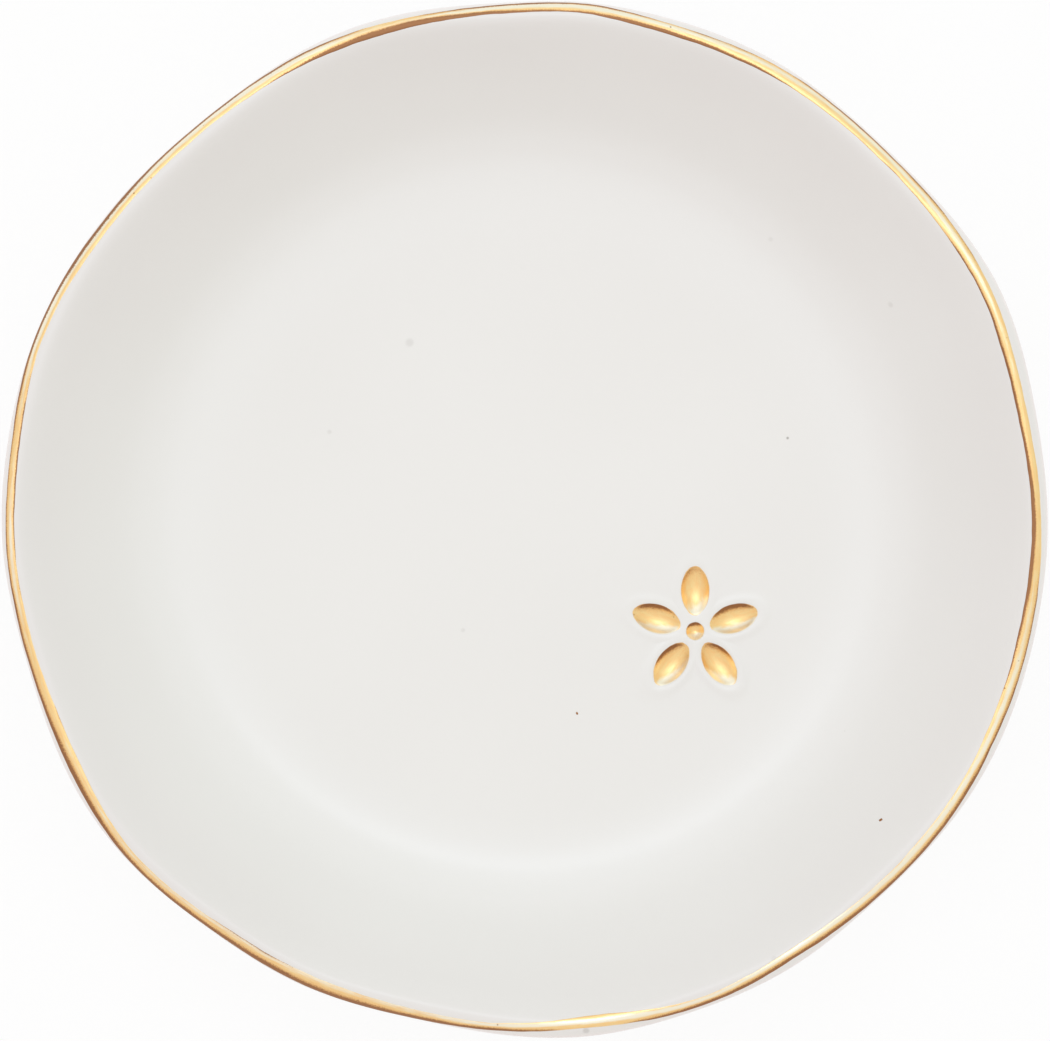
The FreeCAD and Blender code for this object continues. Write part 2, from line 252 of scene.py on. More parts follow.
# mesh from a grid of points, rows by places round the turn: rows join their neighbours and close round the
# turn; the ends close in a single point each (ends given) or on each other (no ends)
def gridPiece(rows, ends=None):
    count, around = rows.shape[:2]
    number = np.arange(count * around).reshape(count, around)
    lower, upper = (number, np.roll(number, -1, 0)) if ends is None else (number[:-1], number[1:])
    corners = [lower, upper, np.roll(upper, -1, 1), np.roll(lower, -1, 1)]
    quads = np.stack(corners, -1).reshape(-1, 4).tolist()
    points = rows.reshape(-1, 3)
    if ends is not None:
        first = np.stack([np.full(around, count * around), number[0], np.roll(number[0], -1)], -1)
        last = np.stack([np.full(around, count * around + 1), np.roll(number[-1], -1), number[-1]], -1)
        quads += first.tolist() + last.tolist()
        points = np.vstack([points, ends])
    return points, quads


# one object from one or more grids, with its finish, smooth, with values carried on its points, hung from the
# root body; the node it replaces is hidden
def makePiece(name, grids, finish, slot, node=None, **carried):
    points, faces, offset = [], [], 0
    for gridPoints, gridFaces in grids:
        points.append(gridPoints)
        faces += [[corner + offset for corner in face] for face in gridFaces]
        offset += len(gridPoints)
    points = np.vstack(points) * mm
    mesh = bpy.data.meshes.new(name)
    mesh.from_pydata(points.tolist(), [], faces)
    mesh.polygons.foreach_set("use_smooth", np.ones(len(faces), bool))
    for key, values in carried.items():
        kind, field = ("FLOAT_VECTOR", "vector") if values.ndim == 2 else ("FLOAT", "value")
        mesh.attributes.new(key, kind, "POINT").data.foreach_set(field, values.astype(np.float32).ravel())
    mesh.materials.append(finish)
    mesh.update()
    piece = bpy.data.objects.new(name, mesh)
    scene.collection.objects.link(piece)
    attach(piece, "root")
    if node:
        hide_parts(node)
    print(f"{name}: {len(points)} points, {len(faces)} faces")


class Wire:
    # an output socket that does arithmetic: each operator adds a Math node to its tree
    def __init__(self, tree, socket=None):
        self.tree = tree
        self.socket = socket

    # any node: its type, its settings first, then the values or links of its sockets
    def node(self, kind, settings=None, sockets=None, out=0):
        made = self.tree.nodes.new(kind)
        for key, value in (settings or {}).items():
            setattr(made, key, value)
        for key, value in (sockets or {}).items():
            if isinstance(value, Wire):
                self.tree.links.new(value.socket, made.inputs[key])
            else:
                made.inputs[key].default_value = value
        return Wire(self.tree, made.outputs[out] if made.outputs else None)

    def math(self, operation, *terms):
        return self.node("ShaderNodeMath", {"operation": operation}, dict(enumerate(terms)))

    def __add__(self, other):
        return self.math("ADD", self, other)

    def __radd__(self, other):
        return self.math("ADD", other, self)

    def __sub__(self, other):
        return self.math("SUBTRACT", self, other)

    def __rsub__(self, other):
        return self.math("SUBTRACT", other, self)

    def __mul__(self, other):
        return self.math("MULTIPLY", self, other)

    def __rmul__(self, other):
        return self.math("MULTIPLY", other, self)

    # 0 below low, 1 above high, smooth between
    def step(self, low, high):
        return self.node("ShaderNodeMapRange", {"interpolation_type": "SMOOTHSTEP"},
                         {"Value": self, "From Min": low, "From Max": high})

    # the first colour where this is 0, the second where it is 1
    def blend(self, first, second):
        return self.node("ShaderNodeMix", {"data_type": "RGBA"}, {0: self, 6: first, 7: second}, out=2)

    def noise(self, vector, scale, detail=2.0, rough=0.5):
        return self.node("ShaderNodeTexNoise", {}, {"Vector": vector, "Scale": scale, "Detail": detail,
                                                    "Roughness": rough})

    # scattered cells: the distance to each one's middle, or its own colour
    def cells(self, vector, scale, out="Distance"):
        sockets = {"Vector": vector, "Scale": scale, "Randomness": 1.0}
        return self.node("ShaderNodeTexVoronoi", {}, sockets, out)

    # surface tilted by a height, so many millimetres at full height
    def bump(self, height, strength, reach):
        sockets = {"Height": height, "Strength": strength, "Distance": reach * mm}
        return self.node("ShaderNodeBump", {}, sockets)

    # a value that the mesh carries on its points
    def carried(self, key, out="Fac"):
        return self.node("ShaderNodeAttribute", {"attribute_name": key}, out=out)

    # how far along an aim a direction points
    def towards(self, direction, aim):
        return self.node("ShaderNodeVectorMath", {"operation": "DOT_PRODUCT"}, {0: direction, 1: aim}, "Value")


# a new finish: its material, the Principled shader and a wire to paint with
def newFinish(name):
    finish = bpy.data.materials.new(name)
    finish.use_nodes = True
    shader = next(n for n in finish.node_tree.nodes if n.type == "BSDF_PRINCIPLED")
    return finish, shader, Wire(finish.node_tree)


# what a surface is painted with: wires or plain values for the Principled shader's sockets
def paint(shader, wire, **sockets):
    for key, value in sockets.items():
        socket = shader.inputs[key.replace("_", " ")]
        if isinstance(value, Wire):
            wire.tree.links.new(value.socket, socket)
        else:
            socket.default_value = value


# Object coordinates in millimetres
def millimetres(wire):
    place = wire.node("ShaderNodeTexCoord", out="Object")
    return wire.node("ShaderNodeVectorMath", {"operation": "SCALE"}, {0: place, "Scale": 1 / mm})


# how close the surface is to a place: 1 at it, 0 from a radius away
def spot(wire, place, centre, radius):
    away = wire.node("ShaderNodeVectorMath", {"operation": "DISTANCE"}, {0: place, 1: centre}, out="Value")
    return 1 - away.step(radius * 0.35, radius)  # full over the inner third


# the point of the finished surface above a place of the plan: on the flat well, or on the wall by its radius
def onDish(x, y):
    theta, radius = np.arctan2(y, x), np.hypot(x, y)
    if radius <= dish["wellRadius"]:
        return np.array([x, y, wellTop])
    v = np.linspace(1, 0.42, 400)            # from the well's edge to just past the lip
    wall = dishSurface(theta, v, dish["glaze"])
    return wall[np.argmin(np.abs(np.hypot(wall[:, 0], wall[:, 1]) - radius))]


glaze = {
    # the third colour darkens the thin lip and is also painted shade on the wall below it
    "white": (0.845, 0.833, 0.81, 1), "cloud": (0.815, 0.80, 0.775, 1), "thin": (0.80, 0.775, 0.757, 1),
    # the blush colour is lighter than the white: a pink tint that is partly painted light on the outer wall
    "blushAndLight": (0.93, 0.87, 0.857, 1), "pooled": (0.858, 0.849, 0.829, 1), "markColour": (0.30, 0.27, 0.24, 1),
    # how fine each noise is, for each millimetre
    "cloudScale": 0.04, "mottleScale": 0.22, "pinholeScale": 0.16, "peelScale": 0.7, "fineScale": 3.2,
    # how far each tone comes in
    "cloudEdges": (0.3, 0.75), "clouding": 0.4, "thinLeast": 0.75, "thinClouding": 0.3, "blushAndLightShare": 0.9,
    # pinholes: their edge, which cells have one, how dark
    "pinholeEdges": (0.008, 0.024), "pinholeCells": (0.8, 0.82), "pinholeDark": 0.16,
    "roughness": 0.28, "roughMottle": 0.03, "roughCloud": 0.02, "roughPinhole": 0.2,
    "ior": 1.5, "specular": 0.5,
    # relief: shares of the peel, the fine grain and the pinholes, then how strong and how high
    "peel": 0.8, "fine": 0.12, "pinholeDepth": 0.8, "bump": 0.35, "bumpHeight": 0.02,
    # firing marks: place in the plan, radius, strength
    "marks": ((25.7, 7.9, 0.2, 0.75), (-11.1, 17.2, 0.55, 0.16), (-18.9, 8.5, 0.3, 0.13),
              (35.4, 20.7, 0.4, 0.14), (-5.9, -10.8, 0.3, 0.13), (24.0, 27.2, 0.35, 0.1),
              (23.9, -41.9, 0.4, 0.12), (5.96, -48.8, 0.45, 0.3)),
}


# white glaze: slow cloudiness, whiter where it pools at the foot of the wall, a darker lip that is partly thin
# glaze and partly painted shade, a band of painted shade on the wall below it, a faint blush outside that is
# partly painted light, pinholes and firing marks, over a faint orange peel
def glazeFinish():
    finish, shader, wire = newFinish("whiteGlaze")
    place = millimetres(wire)
    cloud = wire.noise(place, glaze["cloudScale"], 1).step(*glaze["cloudEdges"])
    mottle = wire.noise(place, glaze["mottleScale"], 2)
    thin, pool, outside = (wire.carried(key) for key in ("thin", "pool", "outside"))
    colour = (cloud * glaze["clouding"]).blend(glaze["white"], glaze["cloud"])
    colour = pool.blend(colour, glaze["pooled"])
    # darker lip where the glaze is thin, partly painted shade, and a band of painted shade on the wall
    thinned = thin * (glaze["thinLeast"] + cloud * glaze["thinClouding"])
    colour = thinned.blend(colour, glaze["thin"])
    # outside, a pink blush lighter than the white: partly painted light on the dim outer wall
    colour = (outside * glaze["blushAndLightShare"]).blend(colour, glaze["blushAndLight"])
    pit, rare = (wire.cells(place, glaze["pinholeScale"], out) for out in ("Distance", "Color"))
    chosen = wire.node("ShaderNodeSeparateColor", {}, {"Color": rare}).step(*glaze["pinholeCells"])
    pinhole = (1 - pit.step(*glaze["pinholeEdges"])) * chosen
    colour = (pinhole * glaze["pinholeDark"]).blend(colour, glaze["markColour"])
    for x, y, radius, strength in glaze["marks"]:
        mark = spot(wire, place, tuple(onDish(x, y)), radius)
        colour = (mark * strength).blend(colour, glaze["markColour"])
    peel = wire.noise(place, glaze["peelScale"], 2)
    fine = wire.noise(place, glaze["fineScale"], 2)
    height = peel * glaze["peel"] + fine * glaze["fine"] - pinhole * glaze["pinholeDepth"]
    bump = wire.bump(height, glaze["bump"], glaze["bumpHeight"])
    roughness = (glaze["roughness"] + mottle * glaze["roughMottle"] + cloud * glaze["roughCloud"]
                 + pinhole * glaze["roughPinhole"])
    paint(shader, wire, Base_Color=colour, Roughness=roughness, Normal=bump, IOR=glaze["ior"],
          Specular_IOR_Level=glaze["specular"])
    return finish


gold = {
    "pale": (1.0, 0.95, 0.78, 1), "bright": (1.0, 0.77, 0.38, 1), "deep": (1.0, 0.65, 0.285, 1),
    "shade": (0.75, 0.43, 0.175, 1), "brown": (0.37, 0.18, 0.085, 1),
    "grainScale": 9.0, "poolScale": 0.9, "speckScale": 0.55, "speckEdges": (0.03, 0.07), "speckBrown": 0.7,
    # the bright colour: edges of its streaks, their share, the pools' share
    "streakEdges": (0.3, 0.7), "streakBright": 0.7, "poolBright": 0.3,
    # how each change comes in: broken up by streaks, by grain, from where, to where
    "shading": (0.3, 0.9, 0.05, 0.6), "highlightBreak": (0.7, 0.25, 0.15, 0.8), "brownShading": (0.5, 1.1, 0.4, 0.85),
    "lineRoughness": 0.28, "markRoughness": 0.34, "roughGrain": 0.14, "roughBrownShading": 0.16, "roughSpeck": 0.2,
    # relief: shares of the streaks, the grain and the specks, then how strong and how high
    "streakHeight": 0.7, "grainHeight": 0.5, "speckDepth": 0.6, "bump": 0.5, "bumpHeight": 0.03,
}


# painted gold: streaks that follow the brush, a pale painted highlight, fine grain, and darker, then brown and
# rougher, where the film runs out at edges and where painted shade falls
def goldFinish(name, smoothest):
    finish, shader, wire = newFinish(name)
    place = millimetres(wire)
    brush, thin, sheen = wire.carried("brush", "Vector"), wire.carried("thin"), wire.carried("sheen")
    streak = wire.noise(brush, 1.0, 4, 0.6)
    grain = wire.noise(place, gold["grainScale"], 3, 0.6)
    pool = wire.noise(place, gold["poolScale"], 2)

    # where a change has come in: its value, broken up by the streaks and the grain
    def broken(value, byStreak, byGrain, start, end):
        return (value + (streak - 0.5) * byStreak + (grain - 0.5) * byGrain).step(start, end)

    bright = streak.step(*gold["streakEdges"]) * gold["streakBright"] + pool * gold["poolBright"]
    colour = bright.blend(gold["deep"], gold["bright"])
    # darker, then brown, where the film runs out and as painted shade on walls that look away from the light
    colour = broken(thin, *gold["shading"]).blend(colour, gold["shade"])
    # pale gold blended in as a painted highlight
    colour = broken(sheen, *gold["highlightBreak"]).blend(colour, gold["pale"])
    brownShaded = broken(thin, *gold["brownShading"])
    colour = brownShaded.blend(colour, gold["brown"])
    speck = 1 - wire.cells(place, gold["speckScale"]).step(*gold["speckEdges"])
    colour = (speck * gold["speckBrown"]).blend(colour, gold["brown"])
    height = streak * gold["streakHeight"] + grain * gold["grainHeight"] - speck * gold["speckDepth"]
    bump = wire.bump(height, gold["bump"], gold["bumpHeight"])
    roughness = smoothest + grain * gold["roughGrain"] + brownShaded * gold["roughBrownShading"] + speck * gold["roughSpeck"]
    paint(shader, wire, Base_Color=colour, Roughness=roughness, Normal=bump, Metallic=1.0)
    return finish


clay = {
    "body": (0.80, 0.745, 0.665, 1), "pale": (0.86, 0.82, 0.755, 1), "speck": (0.42, 0.30, 0.21, 1),
    "sandScale": 2.2, "patchScale": 0.12, "speckScale": 0.45, "ringScale": 7.5, "ringDrift": 5.0,
    "sandPale": 0.7, "patchPale": 0.3, "speckEdges": (0.05, 0.11), "speckDark": 0.55,
    "roughness": 0.78, "roughSand": 0.16, "sandHeight": 0.9, "ringHeight": 0.25,
    "bump": 0.6, "bumpHeight": 0.06,
}


# bare fired clay: sandy grain, faint rings from turning the foot, a few iron specks
def clayFinish():
    finish, shader, wire = newFinish("bareClay")
    place = millimetres(wire)
    flat = wire.node("ShaderNodeVectorMath", {"operation": "MULTIPLY"}, {0: place, 1: (1, 1, 0)})
    radius = wire.node("ShaderNodeVectorMath", {"operation": "LENGTH"}, {0: flat}, out="Value")
    sand = wire.noise(place, clay["sandScale"], 5, 0.65)
    patch = wire.noise(place, clay["patchScale"], 2)
    rings = wire.math("SINE", radius * clay["ringScale"] + patch * clay["ringDrift"]) * 0.5 + 0.5
    colour = (sand * clay["sandPale"] + patch * clay["patchPale"]).blend(clay["body"], clay["pale"])
    iron = 1 - wire.cells(place, clay["speckScale"]).step(*clay["speckEdges"])
    colour = (iron * clay["speckDark"]).blend(colour, clay["speck"])
    bump = wire.bump(sand * clay["sandHeight"] + rings * clay["ringHeight"], clay["bump"], clay["bumpHeight"])
    roughness = clay["roughness"] + sand * clay["roughSand"]
    paint(shader, wire, Base_Color=colour, Roughness=roughness, Normal=bump)
    return finish


whiteGlaze = glazeFinish()
lineGold = goldFinish("lineGold", gold["lineRoughness"])
markGold = goldFinish("markGold", gold["markRoughness"])
bareClay = clayFinish()
print("finishes mixed")


# a disc of the well in plan: circles round the stamp out to its reach, then circles that widen and drift to the
# well's edge; rises with the stamp's relief
def wellRows(theta, share, top):
    near = np.minimum(share, 1) * stamp["reach"]
    far = np.maximum(share - 1, 0)
    radius = near + far * (dish["wellRadius"] - stamp["reach"])
    x = (1 - far) * stampPlace[0] + radius * np.cos(theta)
    y = (1 - far) * stampPlace[1] + radius * np.sin(theta)
    return np.stack([x, y, top + stampRelief(x - stampPlace[0], y - stampPlace[1])], -1)


# shares of the well's disc: rows up to the stamp's reach (1), then on to just short of the well's edge (2)
def discShares(markRows, floorRows):
    return np.concatenate([upTo(1, markRows), 1 + upTo(1, floorRows)[:-1]])[:, None]


skin = {
    # wavering edge at the waxed foot (wobble: reach, slowest, finest), and how the coat's back lies on the clay
    "waxRadius": 26.7, "wobble": (0.22, 2, 30), "edge": 0.3, "bed": 0.03, "backStart": 0.03,
    # where the coat is thin at the lip, partly painted shade, and the band of painted shade on the wall: place
    # along the section, spread
    "lipThin": (0.555, 0.06), "wallShade": (0.67, 0.06), "wallShadeShare": 0.4,
    # where it pools and up to which place along the section; where the outside starts
    "poolRadius": 33.8, "poolWidth": 4.2, "poolEnd": 0.6, "outsideEdge": (0.43, 0.49),
    # mesh: columns, then rows from the stamp's middle over the lip to the foot and back underneath
    "columns": 360, "markRows": 64, "floorRows": 28, "wallStops": (1, 0.62, 0.38, 0), "wallRows": (30, 36, 20),
    "underRows": 4, "edgeRows": 5, "backUnderRows": 3, "backStops": (0, 0.42, 0.58, 1), "backRows": (9, 12, 11),
    "backFloorRows": 5, "backMarkRows": 24,
}


# glaze coat as one closed skin: from the stamp's middle over the well, up the wall, round the lip and down the
# outside to a rounded, wavering edge at the waxed foot, then back along the clay under itself; carries where it
# is thin and painted shade darkens it, where it pools and where it is outside, each by a bell or an ease along
# the section
def glazeSkin():
    theta = np.linspace(0, fullTurn, skin["columns"], endpoint=False)[None, :]
    v = evenSteps(skin["wallStops"], skin["wallRows"])[:, None]
    well = wellRows(theta, discShares(skin["markRows"], skin["floorRows"]), wellTop)
    well[..., 2] += coatUneven(well)
    wall = dishSurface(theta, v, dish["glaze"])
    wall = dishSurface(theta, v, dish["glaze"] + coatUneven(wall))

    foot = dish["footHeight"]
    depth = foot - wall[-1:, :, 2]           # the coat's own thickness under the dish
    waxEdge = skin["waxRadius"] + tremble(*skin["wobble"])(theta)
    turn = np.concatenate([np.zeros(skin["underRows"]), upTo(fullTurn / 4, skin["edgeRows"])])[:, None]
    inward = np.concatenate([upTo(1, skin["underRows"]), np.ones(skin["edgeRows"])])[:, None]
    roundStart = waxEdge + skin["edge"]
    radius = dish["wellRadius"] + inward * (roundStart - dish["wellRadius"]) - skin["edge"] * np.sin(turn)
    under = atTurn(radius, theta, foot - depth * np.cos(turn))

    bed = skin["bed"]
    outward = np.linspace(skin["backStart"], 1, skin["backUnderRows"] + 1)[:-1, None]
    backUnder = atTurn(waxEdge + outward * (dish["wellRadius"] - waxEdge), theta, foot - bed)
    backWall = dishSurface(theta, evenSteps(skin["backStops"], skin["backRows"])[:, None], bed)
    backShares = discShares(skin["backMarkRows"], skin["backFloorRows"])[::-1]
    backWell = wellRows(theta, backShares, wellTop - dish["glaze"] + bed)
    rows = np.concatenate([well, wall, under, backUnder, backWall, backWell])
    middle = wellTop + stampRelief(*np.zeros((2, 1)))[0]
    ends = np.array([[*stampPlace, middle], [*stampPlace, middle - dish["glaze"] + bed]])
    ends[0, 2] += coatUneven(ends[0])

    thin, pool, outside = np.zeros((3, *rows.shape[:2]))
    start, end = len(well), len(well) + len(v)   # the wall's rows
    # thin glaze at the lip, partly painted shade, plus a band of painted shade on the wall below it
    thin[start:end] = bell(v, *skin["lipThin"]) + skin["wallShadeShare"] * bell(v, *skin["wallShade"])
    pooled = start + np.count_nonzero(v > skin["poolEnd"])
    reach = np.hypot(rows[:pooled, :, 0], rows[:pooled, :, 1])
    pool[:pooled] = bell(reach, skin["poolRadius"], skin["poolWidth"])
    outside[start:end] = 1 - ease(v, *skin["outsideEdge"])
    outside[end:end + len(under)] = 1
    return gridPiece(rows, ends), [np.append(values.ravel(), [0, 0]) for values in (thin, pool, outside)]


skinGrid, (skinThinAndShade, skinPool, skinOutside) = glazeSkin()
makePiece("glazeSkin", [skinGrid], whiteGlaze, "glaze", "glaze_coat", thin=skinThinAndShade, pool=skinPool,
          outside=skinOutside)

basePatch = {
    "radius": 21.7, "wobble": (0.18, 2, 26), "edge": 0.3, "gap": 0.01, "tuck": 0.05, "sagReach": 3.0,
    "columns": 200, "backRows": 7, "edgeRows": 8, "faceRows": 12,
}


# glaze inside the foot ring: a low disc with a rounded, wavering edge, swelling a little to its middle
def baseGlaze():
    theta = np.linspace(0, fullTurn, basePatch["columns"], endpoint=False)[None, :]
    edge = basePatch["radius"] + tremble(*basePatch["wobble"])(theta)
    top = dish["footHeight"] - basePatch["gap"]
    back = upTo(1, basePatch["backRows"])[:, None] * (edge - basePatch["tuck"])
    turn = np.linspace(0, fullTurn / 4, basePatch["edgeRows"])[:, None]
    rim = edge - basePatch["edge"] * (1 - np.cos(turn))
    face = np.linspace(1, 0, basePatch["faceRows"] + 2)[1:-1, None] * (edge - basePatch["edge"])
    radius = np.concatenate([back, rim, face])
    drop = np.concatenate([np.zeros(len(back)), dish["glaze"] * np.sin(turn[:, 0]),
                           np.full(len(face), dish["glaze"])])[:, None]
    points = atTurn(radius, theta, top - drop)
    sag = coatUneven(points) * (drop >= dish["glaze"])
    points[..., 2] += sag * np.clip((edge - radius) / basePatch["sagReach"], 0, 1)
    return gridPiece(points, np.array([[0, 0, top], [0, 0, top - dish["glaze"]]]))


baseGrid = baseGlaze()
nowhere = np.zeros(len(baseGrid[0]))
makePiece("baseGlazePatch", [baseGrid], whiteGlaze, "glaze", "base_glaze", thin=nowhere, pool=nowhere,
          outside=nowhere + 1)

gilding = {
    "width": 1.14, "stray": 0.8, "film": 0.045, "sunk": 0.3, "columns": 1080, "around": 24,
    # trembles of the edges and of the brown: reach, slowest, finest
    "edgeTremble": (0.035, 9, 260), "brownTremble": (0.03, 5, 90),
    # the brown's ramp before and after its edge, the breadth of the pale painted highlight, how fine the brush
    # marks are
    "outerRamp": (0.5, 0.4), "innerRamp": (0.3, 0.3), "brownLeast": 0.1, "streakSpread": 0.42,
    "marksAlong": 30.0, "marksAcross": 5.5,
}
brushStray = aroundRim(rimTable[:, 3] * gilding["stray"])
brushWidth = aroundRim(rimTable[:, 4] * gilding["width"])
# how the line was painted at each rim station: share of its width that runs out brown, partly painted shade, at
# the outer and at the inner edge, how pale its painted highlight streak is, and where that lies from the inner
# edge (-1) to the outer (1)
brushTable = np.array([
    (0.0, 0.4, 0.1, 0.2), (0.0, 0.29, 0.2, 0.3), (0.0, 0.12, 0.55, 0.1), (0.18, 0.06, 0.8, 0.2),
    (0.08, 0.14, 0.7, 0.3), (0.1, 0.3, 0.85, 0.35), (0.22, 0.14, 1.0, 0.1), (0.22, 0.26, 1.0, 0.15),
    (0.04, 0.58, 0.4, 0.4), (0.24, 0.14, 0.9, 0.2), (0.34, 0.0, 1.0, 0.0), (0.38, 0.0, 0.8, 0.0),
    (0.42, 0.0, 0.75, -0.2), (0.18, 0.12, 0.3, -0.1), (0.18, 0.06, 0.7, -0.2), (0.28, 0.0, 0.25, -0.2),
    (0.34, 0.1, 0.36, -0.4), (0.46, 0.0, 0.45, -0.6), (0.47, 0.0, 0.55, -0.75), (0.48, 0.0, 0.55, -0.8),
    (0.5, 0.0, 0.55, -0.8), (0.26, 0.0, 0.95, -0.5), (0.0, 0.0, 1.0, -0.1), (0.36, 0.0, 0.9, -0.5),
    (0.32, 0.0, 0.85, -0.5), (0.4, 0.0, 0.95, -0.6), (0.28, 0.0, 1.0, -0.35), (0.1, 0.15, 0.65, 0.0),
])
outerBrown, innerBrown, streakPale, streakPlace = (aroundRim(column) for column in brushTable.T)


# how far the line has browned at a share of its width, partly where the film runs out and partly painted shade:
# eases in over a ramp about the brown's edge, and not at all where there is no brown
def runOut(share, brown, ramp):
    start = 1 - 2 * brown
    return ease(share, start - ramp[0], start + ramp[1]) * ease(brown, 0, gilding["brownLeast"])


# painted line: a flat tube on the lip's glaze; across it runs half a width to each side of the wandering brush,
# with its own tremble at each edge, and it rises by the film's thickness in the middle; brown at its edges,
# partly where the film runs out and partly painted shade, and a pale painted highlight in a bell about its
# streak
def rimGold():
    theta = np.linspace(0, fullTurn, gilding["columns"], endpoint=False)[None, :]
    turn = np.linspace(0, fullTurn, gilding["around"], endpoint=False)[:, None]
    lip, near = 0.5, 0.001                   # the lip's tip on the section, and a short way from it
    beside = dishSurface(0.0, np.array([lip - near, lip + near]), dish["glaze"])
    speed = np.linalg.norm(np.diff(beside, axis=0)) / (2 * near)
    inner = tremble(*gilding["edgeTremble"])(theta)
    outer = tremble(*gilding["edgeTremble"])(theta)
    share = -np.cos(turn)
    across = share * brushWidth(theta) / 2 + np.where(share > 0, outer, inner) * np.abs(share)
    v = lip - (brushStray(theta) + across) / speed
    base = dishSurface(theta, v, dish["glaze"])
    lift = gilding["film"] * np.maximum(np.sin(turn), -gilding["sunk"])
    rows = dishSurface(theta, v, dish["glaze"] + coatUneven(base) + lift)
    outerShare = np.clip(outerBrown(theta) + tremble(*gilding["brownTremble"])(theta), 0, 1)
    innerShare = np.clip(innerBrown(theta) + tremble(*gilding["brownTremble"])(theta), 0, 1)
    # brown edges: partly the film running out, partly painted shade
    thin = np.maximum(runOut(share, outerShare, gilding["outerRamp"]),
                      runOut(-share, innerShare, gilding["innerRamp"]))
    # a painted highlight across the line: a pale bell about its place
    sheen = streakPale(theta) * bell(share, streakPlace(theta), gilding["streakSpread"])
    brush = atTurn(gilding["marksAlong"] + 0 * across, theta, gilding["marksAcross"] * across)
    return gridPiece(rows), thin.ravel(), sheen.ravel(), brush.reshape(-1, 3)


rimGrid, rimThinAndShade, rimHighlight, rimBrush = rimGold()
makePiece("rimGoldLine", [rimGrid], lineGold, "gold", "rim_gilding", thin=rimThinAndShade, sheen=rimHighlight,
          brush=rimBrush)

leaf = {
    "film": 0.035, "filmPower": 8, "under": 0.6, "spill": 1.03, "wobble": (0.008, 3, 24),
    "rings": 20, "around": 120,
    # painted highlight, pale, where walls lean towards the light's aim, painted shade, brown, where they lean
    # away: between which leans; brown at the rim by a power, where the film runs out
    "lightAim": 100.0, "pale": 0.9, "highlightLean": (0.05, 0.8), "shadeLean": (0.2, 1.25), "brownRim": 0.25,
    "brownPower": 10,
    # how fine the brush marks are along and across, and how far those of the petals lie apart
    "marksAlong": 1.2, "marksAcross": 3.4, "marksApart": 7.0,
}


# which way the relief leans: its slope towards an aim, positive where a wall looks that way, by small
# differences
def reliefLean(x, y, aim):
    reach = 0.03
    dx, dy = reach * np.cos(aim), reach * np.sin(aim)
    return (stampRelief(x - dx, y - dy) - stampRelief(x + dx, y + dy)) / (2 * reach)


# gold in one hollow of the stamp: rings that grow from its middle to its wavering outline, laid a film above
# the relief and back a little below it; painted shade, brown, on the walls that look away from the light's aim,
# and a painted highlight, pale, on those towards it
def hollowGold(outline, middle, direction):
    turn = np.linspace(0, fullTurn, leaf["around"], endpoint=False)[None, :]
    along, across = outline(turn)
    grow = np.sin(upTo(fullTurn / 4, leaf["rings"]))[:, None]
    back = grow[:-1][::-1]
    ring = np.concatenate([grow, back])
    shares = ring * (leaf["spill"] + tremble(*leaf["wobble"])(turn))
    a, b = shares * along, shares * across
    x = (middle + a) * np.cos(direction) - b * np.sin(direction)
    y = (middle + a) * np.sin(direction) + b * np.cos(direction)
    power = leaf["filmPower"]
    side = np.concatenate([1 - grow ** power, -leaf["under"] * (1 - back ** power)]) * leaf["film"]
    points = np.stack([x + stampPlace[0], y + stampPlace[1], wellTop + stampRelief(x, y) + side], -1)
    points[..., 2] += coatUneven(points)
    centre = np.array([middle * np.cos(direction), middle * np.sin(direction)])
    floor = wellTop + stampRelief(*centre[:, None])[0]
    ends = np.array([[*(centre + stampPlace), floor + lift * leaf["film"]] for lift in (1, -leaf["under"])])
    ends[:, 2] += coatUneven(ends)
    lean = reliefLean(x, y, np.radians(leaf["lightAim"]))
    # painted shade on walls leaning away from the light, brown at the rim where the film runs out, and a
    # painted highlight on walls leaning towards it
    thin = ease(-lean, *leaf["shadeLean"]) + leaf["brownRim"] * ring ** leaf["brownPower"]
    sheen = ease(lean, *leaf["highlightLean"]) * leaf["pale"]
    apart = leaf["marksApart"] * direction
    brush = np.stack([leaf["marksAlong"] * (a + middle), leaf["marksAcross"] * b, 0 * a + apart], -1)
    brush = np.vstack([brush.reshape(-1, 3), [[leaf["marksAlong"] * middle, 0, apart]] * 2])
    return gridPiece(points, ends), np.append(thin, [0, 0]), np.append(sheen, [0, 0]), brush


# outline of a petal: where its spindle meets the well
def petalOutline(turn):
    along = stamp["petalLength"] / 2 * np.cos(turn)
    level = petalGirth - stamp["petalDepth"]
    return along, np.sign(np.sin(turn)) * np.sqrt(np.maximum(spindle(along) ** 2 - level ** 2, 0))


# outline of the dot: a circle
def dotOutline(turn):
    return stamp["dotWidth"] / 2 * np.cos(turn), stamp["dotWidth"] / 2 * np.sin(turn)


hollows = [hollowGold(petalOutline, petalMiddle, direction) for direction in petalTurns]
hollows.append(hollowGold(dotOutline, 0.0, 0.0))
hollowGrids, hollowThinAndShade, hollowHighlight, hollowBrush = zip(*hollows)
makePiece("petalGold", hollowGrids, markGold, "gold", "mark_gilding", thin=np.concatenate(hollowThinAndShade),
          sheen=np.concatenate(hollowHighlight), brush=np.vstack(hollowBrush))

# gold that dropped off the brush: place in the plan, radius
flecks = {
    "places": ((5.2, -18.9, 0.12), (34.2, -28.8, 0.17)), "height": 0.05, "sunk": 0.04,
    "wobble": (0.14, 2, 6, 4), "thin": 0.85, "around": 28, "rings": 7, "underRings": 2, "marks": 2,
}


